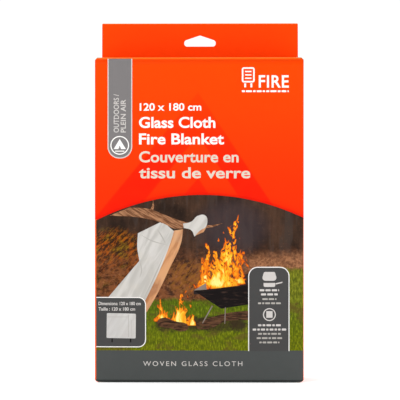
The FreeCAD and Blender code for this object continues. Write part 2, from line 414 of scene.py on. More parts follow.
inks = {
    "orange": orangeBoard(),
    "raw": rawBoard(),
    "edge": cutEdge(),
    "white": plainInk("white ink", (252, 250, 246), (244, 242, 238)),
    "beige": plainInk("beige ink", (226, 214, 196), (216, 204, 188)),
    "ribbon": plainInk("mid grey ink", (127, 123, 123), (122, 119, 119)),
    "pale": plainInk("pale grey ink", (210, 205, 201), (202, 198, 194)),
    "fold": plainInk("printed fold", (180, 176, 170), (170, 166, 159)),
    "dark": plainInk("dark grey ink", (78, 81, 80), (74, 77, 76)),
    "badge": plainInk("warm dark ink", (74, 74, 73), (71, 70, 70)),
    # a dark grey, darker than the printed bar: painted shade for the bottom crease and flap, where the
    # board rolls under the carton
    "base": plainInk("bottom painted shade ink", (50, 53, 52), (46, 49, 48)),
    "black": plainInk("black ink", (30, 28, 28), (24, 22, 22)),
    "legs": plainInk("printed steel", (150, 138, 130), (120, 104, 92)),
    "log": logInk(),
    "picture": pictureInk(),
    "cloth": clothInk("printed cloth", (208, 205, 200), (186, 183, 177), (202, 197, 186)),
    "smallCloth": clothInk("printed folded cloth", (205, 204, 201), (192, 190, 187), (199, 196, 191)),
    "litCloth": clothInk("printed cloth, lit side", (214, 158, 112), (168, 110, 72), (204, 166, 132)),
    "bark": barkInk(),
    "bowl": bowlInk(),
}
print("materials made")


# board pieces
def newPiece(bm, name, *materials, smooth=True):
    mesh = bpy.data.meshes.new(name)
    bm.to_mesh(mesh)
    bm.free()
    if smooth:
        mesh.shade_smooth()
    for material in materials:
        mesh.materials.append(material)
    piece = bpy.data.objects.new(name, mesh)
    bpy.context.scene.collection.objects.link(piece)
    return piece


def boardWall(piece):
    wall = piece.modifiers.new("board", "SOLIDIFY")
    wall.thickness = board
    wall.offset = -1
    wall.use_even_offset = True
    wall.use_rim = True
    wall.material_offset = 1
    wall.material_offset_rim = 2
    return piece


boardInks = (inks["orange"], inks["raw"], inks["edge"])  # outside, inside, cut edge


def cutAcross(bm, axis, places):
    for at in places:
        centre = Vector((0, 0, 0))
        normal = Vector((0, 0, 0))
        centre[axis] = at
        normal[axis] = 1
        everything = bm.verts[:] + bm.edges[:] + bm.faces[:]
        bmesh.ops.bisect_plane(bm, geom=everything, plane_co=centre, plane_no=normal, dist=1e-7)


def rounded(bm, geom, offset, segments, affect="VERTICES"):
    bmesh.ops.bevel(
        bm, geom=geom, offset=offset, segments=segments, profile=0.5, affect=affect, material=-1
    )


def steps(low, high, step):
    count = max(int(round((high - low) / step)), 1)
    return [low + (high - low) * k / count for k in range(1, count)]


def makeSleeve():
    radius = carton["cornerRadius"]
    low = carton["creaseRadius"]
    high = bodyTop - low
    bm = bmesh.new()
    bmesh.ops.create_cube(bm, size=1)
    bmesh.ops.scale(bm, vec=(2 * halfWide, backFace - frontFace, high - low), verts=bm.verts)
    middle = (0, (backFace + frontFace) / 2, (high + low) / 2)
    bmesh.ops.translate(bm, vec=middle, verts=bm.verts)
    ends = [face for face in bm.faces if abs(face.normal.z) > 0.9]
    bmesh.ops.delete(bm, geom=ends, context="FACES_ONLY")
    upright = [e for e in bm.edges if abs(e.verts[0].co.z - e.verts[1].co.z) > 0.1]
    rounded(bm, upright, radius, carton["cornerSteps"], "EDGES")
    reach = halfWide - radius
    depth = (backFace - frontFace) / 2 - radius
    for axis, first, last in ((0, -reach, reach), (1, -depth, depth), (2, low, high)):
        cutAcross(bm, axis, steps(first, last, carton["gridStep"]))
    near = 0.01 * mm
    for vert in bm.verts:
        x, y, z = vert.co
        if abs(x) > reach + 0.99 * radius:
            vert.co.x = math.copysign(sideSurface(y, z), x)
        if y < -depth + near:
            vert.co.y -= swell(x, z, carton["swellFront"])
        elif y > depth - near:
            vert.co.y += swell(x, z, carton["swellBack"])
            # the back has no crease: it runs the carton's whole height
            if z > high - near:
                vert.co.z = bodyTop
            if z < low + near:
                vert.co.z = 0
    bmesh.ops.recalc_face_normals(bm, faces=bm.faces)
    piece = boardWall(newPiece(bm, "carton_sleeve", *boardInks))
    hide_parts("front_panel", "back_panel", "left_side_panel", "right_side_panel")
    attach(piece, "carton")


makeSleeve()
print("sleeve made")


# closures: creases that roll, flaps with their lips, and dust flaps
closureLook = {
    "lipRadius": 1 * mm,
    "lipReach": 19.2 * mm,
    "lipDown": 10.4 * mm,
    "lipShare": 0.955,
    "lipCorner": 0.45,
    "lipNarrow": 0.045,
    "lipLean": 0.6 * mm,
    "lipSteps": 6,
    "flapSteps": 8,
    "crown": 0.25 * mm,
    "endWide": 1.8 * mm,
    "endDrop": 0.9 * mm,
    "topEase": 0.8 * mm,
    "baseEase": 1.6 * mm,
    "dustRadius": 1.8 * mm,
    "dustSlope": 0.5,
    "dustTaper": 5 * mm,
    "dustCorner": 3 * mm,
    "dustSag": 0.35 * mm,
    "arcSteps": 8,
    "spanSteps": 26,
}


def arc(centre, radius, start, end, count):
    points = []
    for k in range(count + 1):
        turn = math.radians(start + (end - start) * k / count)
        points.append((centre[0] + radius * math.cos(turn), centre[1] + radius * math.sin(turn)))
    return points


def sweep(points, low, high, count, axis=0):
    # a line of points drawn along an axis into a sheet
    bm = bmesh.new()
    verts = []
    for first, second in points:
        spot = (low, first, second) if axis == 0 else (first, low, second)
        verts.append(bm.verts.new(spot))
    edges = [bm.edges.new(pair) for pair in zip(verts, verts[1:])]
    step = Vector((0, 0, 0))
    step[axis] = (high - low) / count
    for k in range(count):
        grown = bmesh.ops.extrude_edge_only(bm, edges=edges)["geom"]
        moved = [item for item in grown if isinstance(item, bmesh.types.BMVert)]
        edges = [item for item in grown if isinstance(item, bmesh.types.BMEdge)]
        bmesh.ops.translate(bm, vec=step, verts=moved)
    return bm


def sheetPiece(bm, name, outward, materials, bottom):
    # made for the top, and turned over for the bottom
    outward = Vector(outward)
    if bottom:
        for vert in bm.verts:
            vert.co.z = bodyTop - vert.co.z
        outward.z = -outward.z
    bm.normal_update()
    total = Vector((0, 0, 0))
    for face in bm.faces:
        total += face.normal * face.calc_area()
    if total.dot(outward) < 0:
        bmesh.ops.reverse_faces(bm, faces=bm.faces)
    return boardWall(newPiece(bm, name, *materials))


def flapEnds(x):
    # a closure's ends are a little lower than its middle, where the board rolls over
    past = max(abs(x) - (halfWide - closureLook["endWide"]), 0) / closureLook["endWide"]
    return -closureLook["endDrop"] * past * past


def makeClosure(end, outerInk):
    look = closureLook
    bottom = end == "bottom"
    radius = carton["creaseRadius"]
    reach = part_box(f"{end}_flap")[1].x
    ease = look["baseEase" if bottom else "topEase"]
    crown = look["crown"] * (-1 if bottom else 1)
    materials = (outerInk, inks["raw"], inks["edge"])
    level = bodyTop - radius
    hinge = frontFace + radius

    line = arc((hinge, level), radius, 180, 90, look["arcSteps"])
    bm = sweep(line, -reach, reach, look["spanSteps"])
    for vert in bm.verts:
        rise = (vert.co.z - level) / radius
        swollen = swell(vert.co.x, radius if bottom else level, carton["swellFront"])
        vert.co.y -= swollen * (1 - rise)
        vert.co.z += flapEnds(vert.co.x) * rise
        vert.co.x *= 1 - ease * rise * rise / reach
    crease = sheetPiece(bm, f"{end}_front_crease", (0, -1, 1), materials, bottom)
    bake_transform(crease)

    turn, back, drop = look["lipRadius"], look["lipReach"], look["lipDown"]
    flat = look["flapSteps"]
    line = [(hinge + (back - turn - hinge) * k / flat, bodyTop) for k in range(flat)]
    line += arc((back - turn, bodyTop - turn), turn, 90, 0, look["arcSteps"])
    tall = (drop - turn) / look["lipSteps"]
    line += [(back, bodyTop - turn - tall * (k + 1)) for k in range(look["lipSteps"])]
    reach -= ease
    bm = sweep(line, -reach, reach, look["spanSteps"])
    for vert in bm.verts:
        x, y, z = vert.co
        along = (y - hinge) / (back - hinge)
        down = max(bodyTop - turn - z, 0) / (drop - turn)
        vert.co.z += crown * math.sin(math.pi * along) * (1 - (x / reach) ** 2)
        vert.co.z += flapEnds(x) * (1 - down)
        if down > 0:
            # the lip is narrower than the flap, with rounded corners
            corner = max(down - 1 + look["lipCorner"], 0) / look["lipCorner"]
            curve = 1 - math.sqrt(max(1 - corner * corner, 0))
            narrow = look["lipShare"] - look["lipNarrow"] * curve
            vert.co.x = x * (1 + (narrow - 1) * min(down * look["lipSteps"], 1))
            vert.co.y -= look["lipLean"] * down
    flap = sheetPiece(bm, f"{end}_flap_board", (0, 0.2, 1), materials, bottom)
    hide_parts(f"{end}_flap", f"{end}_tuck_lip")
    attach(flap, f"{end}_closure")

    for side, sign in (("left", -1), ("right", 1)):
        makeDustFlap(end, side, sign, bottom)


def makeDustFlap(end, side, sign, bottom):
    look = closureLook
    dustLow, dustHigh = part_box(f"{end}_dust_flap_{side}")
    front, back = dustLow.y, dustHigh.y
    long = dustHigh.x - dustLow.x
    radius = look["dustRadius"]
    top = bodyTop - board
    body = f"{end}_dust_{side}"

    level = bodyTop - carton["creaseRadius"]
    bend = arc((halfWide - radius, top - radius), radius, 0, 90, look["arcSteps"])
    line = [(halfWide, level)] + [spot for spot in bend if spot[1] > level + 0.05 * mm]
    depth = backFace - carton["cornerRadius"]
    bm = sweep(line, -depth, depth, 10, axis=1)
    for vert in bm.verts:
        # as deep as the wall below, and as the flap above
        rise = max(vert.co.z - level, 0) / (top - level)
        middle = (front + back) / 2
        onFlap = middle + (vert.co.y - middle) / depth * (back - front) / 2
        vert.co.y += (onFlap - vert.co.y) * rise
        vert.co.x *= sign
    crease = sheetPiece(bm, f"{end}_dust_crease_{side}", (sign, 0, 1), boardInks, bottom)
    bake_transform(crease)

    slope = look["dustSlope"] * (long - radius)
    outline = [(radius, front), (long, front + slope), (long, back - look["dustTaper"]), (radius, back)]
    bm = bmesh.new()
    corners = [bm.verts.new((sign * (halfWide - s), y, top)) for s, y in outline]
    bm.faces.new(corners)
    rounded(bm, corners[1:3], look["dustCorner"], 6)
    cutAcross(bm, 0, [sign * (halfWide - radius - long * k / 6) for k in range(1, 6)])
    for vert in bm.verts:
        share = (halfWide - abs(vert.co.x) - radius) / long
        vert.co.z -= look["dustSag"] * math.sin(math.pi * min(share, 1))
    flap = sheetPiece(bm, f"{end}_dust_board_{side}", (0, 0, 1), boardInks, bottom)
    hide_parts(f"{end}_dust_flap_{side}")
    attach(flap, body)


makeClosure("top", inks["orange"])
# the bottom closure in the darker ink: painted shade where the board rolls under the carton
makeClosure("bottom", inks["base"])
print("closures made")


# hang header: two plies folded over at the top, with the delta hole
headerLook = {
    "holeWide": 24.3,
    "holeBase": 11.6,
    "holeSide": 4.6,
    "holeTall": 8.7,
    "holeCorner": 2.254,
    "holeApex": 1.2,
    "corner": 1.2 * mm,
    "foldSteps": 10,
    "edgeRound": 0.05 * mm,
}


def roundCorner(bm, corner, radius):
    sides = [edge.other_vert(corner).co - corner.co for edge in corner.link_edges]
    reach = radius / math.tan(sides[0].angle(sides[1]) / 2)
    rounded(bm, [corner], reach, 8)


def shape(points, radii=(), bm=None):
    # a filled outline in millimetres, with rounded corners where asked
    bm = bm or bmesh.new()
    corners = [bm.verts.new((x * mm, 0, z * mm)) for x, z in points]
    bm.faces.new(corners)
    for corner, radius in zip(corners, radii):
        if radius:
            roundCorner(bm, corner, radius * mm)
    return bm

standUp = Matrix.Rotation(math.pi / 2, 4, "X")


def curveMesh(data):
    made = bpy.data.objects.new(data.name, data)
    mesh = bpy.data.meshes.new_from_object(made)
    bpy.data.objects.remove(made)
    return mesh


def pour(bm, mesh, *turns):
    # a mesh, turned in this order and added to bm
    for turn in turns:
        mesh.transform(turn)
    bm.from_mesh(mesh)
    bpy.data.meshes.remove(mesh)
    return bm


def pourPly(bm, outline, hole, face):
    data = bpy.data.curves.new("ply", "CURVE")
    data.dimensions = "2D"
    data.fill_mode = "BOTH"
    data.extrude = board / 2 - headerLook["edgeRound"]
    data.bevel_depth = headerLook["edgeRound"]
    for flat in (shape(outline), shape(*hole)):
        points = [vert.co.copy() for vert in flat.faces[:][0].verts]
        flat.free()
        spline = data.splines.new("POLY")
        spline.points.add(len(points) - 1)
        for place, spot in zip(spline.points, points):
            place.co = (spot.x, spot.z, 0, 1)
        spline.use_cyclic_u = True
    pour(bm, curveMesh(data), standUp, Matrix.Translation((0, face + board / 2, bodyTop)))


def makeHeader():
    look = headerLook
    wide = headerHigh.x
    rise = headerHigh.z - bodyTop
    half = look["holeWide"] / 2
    low, shoulder = look["holeBase"], look["holeBase"] + look["holeSide"]
    hole = [(-half, low), (half, low), (half, shoulder), (0, low + look["holeTall"]), (-half, shoulder)]
    radii = [look["holeCorner"]] * 3 + [look["holeApex"], look["holeCorner"]]
    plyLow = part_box("header_front_ply")[0]
    top = rise - board - look["edgeRound"]
    bm = bmesh.new()
    for lowest, face in ((0, backLow.y), (plyLow.z - bodyTop, plyLow.y)):
        outline = [(-wide, lowest), (wide, lowest), (wide, top), (-wide, top)]
        pourPly(bm, [(x / mm, z / mm) for x, z in outline], (hole, radii), face)
    fold = ((backFace + plyLow.y) / 2, bodyTop + top)
    outside = (backFace - plyLow.y) / 2
    ring = arc(fold, outside, 0, 180, look["foldSteps"])
    ring += arc(fold, outside - board, 180, 0, look["foldSteps"])
    face = bm.faces.new([bm.verts.new((-wide, y, z)) for y, z in ring])
    grown = bmesh.ops.extrude_face_region(bm, geom=[face])["geom"]
    moved = [item for item in grown if isinstance(item, bmesh.types.BMVert)]
    bmesh.ops.translate(bm, vec=(2 * wide, 0, 0), verts=moved)
    for vert in bm.verts:
        # the header's upper corners are eased
        past = abs(vert.co.x) - (wide - look["corner"])
        over = vert.co.z - (bodyTop + rise - look["corner"])
        if past > 0 and over > 0:
            vert.co.x -= math.copysign(over * over / look["corner"] * 0.5, vert.co.x)
    bm.normal_update()
    for face in bm.faces:
        middle = face.calc_center_median()
        cut = abs(face.normal.y) < 0.3 and middle.z < bodyTop + top
        hidden = middle.z < bodyTop - 1 * mm and face.normal.y > 0.5
        face.material_index = 2 if cut or abs(face.normal.x) > 0.7 else int(hidden)
    piece = newPiece(bm, "header_board", *boardInks, smooth=False)
    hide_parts("hang_header", "header_front_ply")
    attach(piece, "carton")


makeHeader()
print("header made")


# printed shapes, each a thin layer of ink that follows its wall
walls = {
    "front": ((0, -1, 0), lambda x, z, lift: (x, frontSurface(x, z) - lift, z)),
    "back": ((0, 1, 0), lambda x, z, lift: (-x, backSurface(x, z) + lift, z)),
    "right": ((1, 0, 0), lambda y, z, lift: (sideSurface(y, z) + lift, y, z)),
    "left": ((-1, 0, 0), lambda y, z, lift: (-sideSurface(y, z) - lift, -y, z)),
}
inkGrid = {"step": 4 * mm, "cornerStep": 0.2 * mm, "cornerCuts": 5}


def inkPiece(bm, name, inkName, lift, wall="front", cut=True):
    outward, place = walls[wall]
    if cut:
        for axis in (0, 2):
            along = [vert.co[axis] for vert in bm.verts]
            cutAcross(bm, axis, steps(min(along), max(along), inkGrid["step"]))
        turn = halfWide - carton["cornerRadius"]
        places = [turn + k * inkGrid["cornerStep"] for k in range(inkGrid["cornerCuts"])]
        cutAcross(bm, 0, [-at for at in places] + places)
    bmesh.ops.triangulate(bm, faces=[face for face in bm.faces if len(face.verts) > 4])
    for vert in bm.verts:
        vert.co = place(vert.co.x, vert.co.z, lift * mm)
    bm.normal_update()
    wrong = [face for face in bm.faces if face.normal.dot(Vector(outward)) < 0]
    bmesh.ops.reverse_faces(bm, faces=wrong)
    piece = newPiece(bm, f"{name}_print", inks[inkName])
    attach(piece, "carton")


def block(left, low, right, high, radii=(), bm=None):
    return shape([(left, low), (right, low), (right, high), (left, high)], radii, bm)


def outlineBand(box, radius, width, bm):
    # the line round a block, inside it
    band = block(*box, radius)
    bmesh.ops.inset_region(
        band, faces=band.faces[:], thickness=width * mm, use_boundary=True, use_even_offset=True
    )
    middle = max(band.faces, key=lambda face: len(face.verts))
    bmesh.ops.delete(band, geom=[middle], context="FACES")
    mesh = bpy.data.meshes.new("band")
    band.to_mesh(mesh)
    band.free()
    return pour(bm, mesh)


def ring(x, z, radius, inner, bm):
    turn = Matrix.Translation((x * mm, 0, z * mm)) @ standUp
    verts = []
    for size in (radius, inner):
        made = bmesh.ops.create_circle(bm, cap_ends=False, segments=48, radius=size * mm, matrix=turn)
        verts += made["verts"]
    edges = {edge for vert in verts for edge in vert.link_edges}
    bmesh.ops.bridge_loops(bm, edges=list(edges))
    return bm


def words(rows, bm=None, upright=False):
    # each row has its left end, its baseline, its height and width, its boldness and its spacing
    bm = bm or bmesh.new()
    capHeight = 0.729
    for text, x, z, cap, wide, bold, *spacing in rows:
        data = bpy.data.curves.new("words", "FONT")
        data.body = text
        data.size = 1
        data.offset = bold
        data.space_character = spacing[0] if spacing else 1
        data.resolution_u = 5
        mesh = curveMesh(data)
        along = [vert.co.x for vert in mesh.vertices]
        tall = cap / capHeight
        across = wide / (max(along) - min(along)) if wide else tall
        turns = [Matrix.Translation((-min(along), 0, 0)), Matrix.Diagonal((across * mm, tall * mm, 1, 1))]
        if upright:
            turns.append(Matrix.Rotation(math.pi / 2, 4, "Z"))
        pour(bm, mesh, *turns, standUp, Matrix.Translation((x * mm, 0, z * mm)))
    return bm


dashLook = {"shortest": 1.6, "longest": 4.6, "spare": 1.4, "stop": 0.6, "gap": 0.55, "round": 0.3}


def textRows(rows, left, cap, bm=None, centre=None, seed=3):
    # lines of fine print as rows of short rounded dashes, one for each word
    look = dashLook
    bm = bm or bmesh.new()
    draw = random.Random(seed)
    for z, wide in rows:
        at = left if centre is None else centre - wide / 2
        end = at + wide
        while at < end - look["stop"]:
            word = min(draw.uniform(look["shortest"], look["longest"]), end - at)
            if end - at - word < look["spare"]:
                word = end - at
            block(at, z, at + word, z + cap, [cap * look["round"]] * 4, bm)
            at += word + cap * look["gap"]
    return bm


edgeLeft = -76.9
edgeRight = 77.6
barTop = 24.1
# each panel's box, the width of its line on each side, its inks, its lift and its corners
panels = {
    "ribbon": (
        (-68.4, 167.4, -50, 241.9), (0.8, 0.8, 0.8, 0), ("pale", "ribbon"), 0.05,
        (8.6, 8.6, 0, 0), (7.9, 7.9, 0, 0),
    ),
    "size_panel": (
        (edgeLeft, 26.5, -39.7, 64), (0, 0.65, 0.65, 0.65), ("white", "badge"), 0.12,
        (0, 5.6, 5.6, 0), (0, 5, 5, 0),
    ),
    "use_panel": (
        (36.6, 23.8, 67.3, 86.6), (0.65, 0, 0.65, 0.65), ("white", "badge"), 0.12,
        (0, 0, 7, 7), (0, 0, 6.4, 6.4),
    ),
    "back_panel": (
        (-66, 62, 66, 168), (0.9, 0.9, 0.9, 0.9), ("white", "dark"), 0.04, [6] * 4, [5.1] * 4,
    ),
}
wordsLift = 0.11
panelWordsLift = 0.18


def makePanel(name, wall="front"):
    # a plate of ink on a slightly larger one, which shows as its outline
    box, line, (rim, fill), lift, corners, innerCorners = panels[name]
    inner = [edge + way * wide for edge, way, wide in zip(box, (1, 1, -1, -1), line)]
    inkPiece(block(*box, corners), f"{name}_edge", rim, lift, wall)
    inkPiece(block(*inner, innerCorners), name, fill, lift + 0.02, wall)


def archHeight(x):
    drop = arch["radius"] - math.sqrt(arch["radius"] ** 2 - (x - arch["middle"]) ** 2)
    return arch["peak"] - drop


def makePicturePrint():
    span = edgeRight - edgeLeft
    along = [edgeRight - span * k / 40 for k in range(41)]
    base = [(edgeLeft, barTop - 0.5), (edgeRight, barTop - 0.5)]
    inkPiece(shape(base + [(x, archHeight(x)) for x in along]), "picture", "picture", 0.03)
    inkPiece(block(edgeLeft, carton["creaseRadius"] / mm, edgeRight, barTop), "bar", "dark", 0.05)
    bm = words([("WOVEN GLASS CLOTH", -41.8, 12.6, 3.7, 74, 0, 1.35)])
    inkPiece(bm, "bar_words", "pale", wordsLift, cut=False)


def makeRibbonPrint():
    makePanel("ribbon")
    rows = [("OUTDOORS /", -60, 186.8, 4, 28.6, 0.012), ("PLEIN AIR", -54.8, 186.8, 4, 24.6, 0.012)]
    inkPiece(words(rows, upright=True), "ribbon_words", "pale", wordsLift, cut=False)
    # a round badge with a tent in it
    bm = ring(-59.3, 177.2, 7, 6.2, bmesh.new())
    tent = [(-63.9, 174.4), (-60.3, 174.4), (-59.3, 177), (-58.3, 174.4), (-54.7, 174.4), (-59.3, 181.9)]
    shape(tent, bm=bm)
    block(-62.8, 172.5, -55.8, 173.2, bm=bm)
    inkPiece(bm, "ribbon_badge", "white", wordsLift, cut=False)


def makeTitlePrint():
    rows = [
        ("120 x 180 cm", -44.4, 203.2, 5.6, 46, 0.022),
        ("Glass Cloth", -44.9, 190.4, 8.2, 57, 0.024),
        ("Fire Blanket", -44.9, 178.1, 8.2, 63.4, 0.024),
    ]
    inkPiece(words(rows), "title", "white", wordsLift, cut=False)
    rows = [
        ("Couverture en", -44.9, 164.7, 8.3, 74.3, 0.022),
        ("tissu de verre", -44.9, 152.8, 8.3, 83, 0.022),
    ]
    inkPiece(words(rows), "second_title", "beige", wordsLift, cut=False)


def makeMarkPrint():
    # a plain mark: a folded blanket with two tapes, and its word
    bm = outlineBand((31.8, 224, 41.4, 235.4), [1.6] * 4, 1.2, bmesh.new())
    for rail in (227.2, 229.7, 232.2):
        block(34.2, rail - 0.5, 39, rail + 0.5, bm=bm)
    for tape in (33.6, 38.2):
        block(tape, 220.4, tape + 1.4, 223.4, bm=bm)
    words([("FIRE", 44.4, 220.4, 9.4, 22.4, 0.018, 1.08)], bm)
    textRows([(216.8, 35)], 31.8, 1.4, bm, seed=8)
    inkPiece(bm, "mark", "white", wordsLift, cut=False)


def makeSizePanel():
    makePanel("size_panel")
    rows = [
        ("Dimensions: 120 x 180 cm", -75.2, 58, 2.5, 31.6, 0.022),
        ("Taille : 120 x 180 cm", -75.2, 53.9, 2.5, 27.4, 0.022),
    ]
    inkPiece(words(rows), "size_words", "pale", panelWordsLift, cut=False)
    blanket = [(-69.2, 33.4), (-47.4, 33.1), (-47.2, 51.6), (-68.9, 52)]
    inkPiece(shape(blanket, [0.8] * 4), "small_blanket", "smallCloth", panelWordsLift)
    bm = block(-53, 34.2, -52.6, 50.6)
    block(-68.4, 49, -53.6, 49.3, bm=bm)
    block(-50.6, 34.6, -50.4, 47, bm=bm)
    inkPiece(bm, "small_folds", "fold", 0.20, cut=False)
    bm = block(-65.5, 30.2, -64.5, 33.3)
    block(-51.7, 30.2, -50.7, 33.3, bm=bm)
    inkPiece(bm, "small_tapes", "black", 0.17, cut=False)


def makeUsePanel():
    makePanel("use_panel")
    # a blanket over a pan, and a blanket in a ring
    centre = 52.35
    bm = block(48, 71.6, 56.7, 74.6, [1.2, 1.2, 0.2, 0.2])
    shape([(57, 73.4), (62, 74.6), (62, 75.5), (57, 74.4)], bm=bm)
    shape([(46.4, 76.2), (58.3, 76.2), (56.4, 82.8), (48.3, 82.8)], [2.4, 2.4, 1.2, 1.2], bm)
    ring(centre, 51, 4.8, 4, bm)
    block(50, 48.6, 54.7, 53.6, [0.5] * 4, bm)
    inkPiece(bm, "use_pictures", "pale", panelWordsLift, cut=False)
    bm = textRows([(68.4, 14.5), (65.3, 12.5)], 0, 1.5, centre=centre, seed=5)
    textRows([(42.3, 17), (39.1, 25)], 0, 1.5, bm, centre, 7)
    inkPiece(bm, "use_words", "pale", panelWordsLift, cut=False)
    bm = textRows([(61.9, 10.5), (58.8, 17)], 0, 1.3, centre=centre, seed=6)
    textRows([(36, 17), (32.8, 19), (29.6, 15)], 0, 1.3, bm, centre, 9)
    inkPiece(bm, "use_fine_words", "fold", panelWordsLift, cut=False)


def smoothShape(points, bm):
    # a closed outline: corners are pairs, and smooth points have a third value
    data = bpy.data.curves.new("outline", "CURVE")
    data.dimensions = "2D"
    data.fill_mode = "BOTH"
    data.resolution_u = 6
    spline = data.splines.new("BEZIER")
    spline.bezier_points.add(len(points) - 1)
    for place, point in zip(spline.bezier_points, points):
        place.co = (point[0] * mm, point[1] * mm, 0)
        kind = "AUTO" if len(point) == 3 else "VECTOR"
        place.handle_left_type = place.handle_right_type = kind
    spline.use_cyclic_u = True
    return pour(bm, curveMesh(data), standUp)


# in the picture: the blanket let down from a branch beside the fires. Each part has its ink,
# its lift and its outlines, where s marks a smooth point
s = 1
pictureParts = {
    "logs": ("log", 0.04, [
        [(-31, 44, s), (-29, 48, s), (-18, 46, s), (-8, 42, s), (-10, 39, s), (-22, 41, s)],
        [(-2, 42, s), (6, 48), (20, 52, s), (36.9, 54), (36.9, 47), (20, 46, s), (8, 41, s)],
    ]),
    "bowl": ("bowl", 0.05, [
        [(-4.2, 69), (12, 70.4), (36.9, 73.6), (36.9, 58.6), (16.5, 55.4), (9, 60.2)],
    ]),
    "legs": ("legs", 0.06, [
        [(9.4, 57.8), (10.2, 57.2), (2.8, 44.4), (2.2, 44.8)],
        [(19.2, 56.4), (19.9, 56.4), (19.4, 44.2), (18.8, 44.2)],
        [(-4.2, 69), (5, 74.4), (5.6, 69.6)],
    ]),
    "branch": ("bark", 0.09, [
        [
            (-52, 130.8), (-38, 129.8, s), (-24, 124.6, s), (-11, 120.2, s), (8, 117.6, s), (18, 119.2),
            (8, 115.8, s), (-8, 116, s), (-18, 115, s), (-27, 119, s), (-42, 123, s), (-67, 124.8),
        ],
        [(-40, 125.6), (-35.6, 131, s), (-34.4, 137), (-33.8, 130.6, s), (-37.4, 124.4)],
    ]),
    "lit_cloth": ("litCloth", 0.07, [[
        (-20, 113.4), (-12, 114.6), (-13.6, 104, s), (-22, 85.5, s), (-31.4, 66, s), (-39.2, 52.6),
        (-44, 60), (-29.3, 88), (-22.6, 104),
    ]]),
    "cloth": ("cloth", 0.08, [[
        (-45.7, 111.6), (-27, 120.8), (-22.6, 116.4), (-18.8, 113.2), (-21.6, 104, s), (-28.6, 86, s),
        (-36, 70, s), (-41.4, 59), (-72, 59), (-58, 75.4, s), (-49, 86), (-44.6, 91), (-46.2, 101, s),
    ]]),
    "folds": ("fold", 0.085, [
        [(-44.8, 111.4), (-36.5, 106.9, s), (-23.2, 102.6), (-36, 105.9, s)],
        [(-31.6, 115.2), (-27.4, 109.4, s), (-24.6, 103), (-28.2, 108.9, s)],
        [(-44.4, 91.2), (-43.4, 84, s), (-44.6, 77.6), (-42.6, 84, s)],
        [(-25.6, 97), (-32.4, 80, s), (-42.6, 60.4), (-33.4, 80.2, s)],
    ]),
    "corner": ("cloth", 0.10, [[
        (-12, 118.8), (-6, 120.2, s), (-1, 124.6, s), (4.6, 124.8, s), (6, 119, s), (3, 113.6),
        (-3.6, 109.2), (-5.6, 113.6, s), (-11.4, 115.6),
    ]]),
    "lit_corner": ("litCloth", 0.11, [[(-3, 109.8), (3.4, 112.6), (5.4, 116.2), (0.4, 113.4, s)]]),
}


def makePictureParts():
    for name, (inkName, lift, outlines) in pictureParts.items():
        bm = bmesh.new()
        for points in outlines:
            if name in ("bowl", "legs"):
                shape(points, bm=bm)
            else:
                smoothShape(points, bm)
        inkPiece(bm, f"picture_{name}", inkName, lift, cut=name != "legs")


makePicturePrint()
makeRibbonPrint()
makeTitlePrint()
makeMarkPrint()
makeSizePanel()
makeUsePanel()
makePictureParts()
print("front print made")


backLook = {
    "left": -66,
    "columns": (-44, 0, 44),
    "rowsLow": 74,
    "bars": (36, 14, 66, 34),
    "barWidths": (0.35, 0.7, 1.05),
    "seed": 12,
}


def makeBackPrint():
    # how to use it: three numbered pictures over rows of fine print
    left = backLook["left"]
    makePanel("back_panel", "back")
    rows = [
        ("Fire Blanket", left, 204, 8.1, 63.4, 0.024),
        ("120 x 180 cm", 25, 204, 5.6, 41, 0.02),
        ("Couverture antifeu", left, 188, 7.2, 92, 0.012),
    ]
    bm = words(rows)
    textRows([(178, 118), (174.4, 126)], left, 1.6, bm, seed=31)
    textRows([(30, 84), (26.2, 78), (22.4, 88), (18.6, 62)], left, 1.5, bm, seed=32)
    textRows([(50, 118), (46.2, 124), (42.4, 96)], left, 1.6, bm, seed=33)
    for number, middle in enumerate(backLook["columns"]):
        ring(middle, 154, 6.4, 5.6, bm)
        words([(str(number + 1), middle - 1.3, 151, 6, None, 0.02)], bm)
        rows = [(backLook["rowsLow"] + 4 * k, 34 - 4 * (k % 3)) for k in range(6)]
        textRows(rows, 0, 1.5, bm, middle, 40 + number)
    # pulled from its carton, held open, laid over a pan
    outlineBand((-54, 112, -34, 138), [1.5] * 4, 1.2, bm)
    for tape in (-50, -40.4):
        block(tape, 104.5, tape + 2.4, 110.8, bm=bm)
    outlineBand((-15, 108, 15, 138), [2.5, 2.5, 0.5, 0.5], 1.2, bm)
    for rail in (116, 123, 130):
        block(-11, rail, 11, rail + 0.9, bm=bm)
    shape([(30, 118), (58, 118), (52, 134), (36, 134)], [3] * 4, bm)
    block(33.5, 106, 54.5, 115.5, [4, 4, 0.4, 0.4], bm)
    shape([(55.5, 112.6), (63, 114.6), (63, 116.2), (55.5, 114.6)], bm=bm)
    inkPiece(bm, "back_words", "white", 0.10, "back", cut=False)
    left, low, right, high = backLook["bars"]
    inkPiece(block(left, low, right, high), "stripe_label", "white", 0.04, "back")
    bm = bmesh.new()
    draw = random.Random(backLook["seed"])
    at = left + 2.4
    while at < right - 3:
        wide = draw.choice(backLook["barWidths"])
        block(at, low + 2.5, at + wide, high - 2, bm=bm)
        at += wide + draw.choice(backLook["barWidths"])
    inkPiece(bm, "stripes", "black", 0.08, "back", cut=False)


def makeSidePrint():
    for wall in ("left", "right"):
        bm = words([("120 x 180 cm", 2.8, 92, 5.6, 46, 0.02)], upright=True)
        inkPiece(bm, f"{wall}_side_words", "white", 0.08, wall, cut=False)


makeBackPrint()
makeSidePrint()
print("back and side print made")


# the blanket: one sheet folded in eight across and in eight along, and never cut into layers
blanketLook = {
    "wide": 1.2,
    "long": 1.8,
    "folds": 8,
    "flatSteps": 8,
    "crossTurnSteps": 4,
    "longTurnSteps": 8,
    "thick": 0.3 * mm,
    "slip": 0.9 * mm,
    "crossTurnShare": 0.005,
    "longTurnShare": 0.03,
    "wave": 0.25 * mm,
    "seed": 6,
}


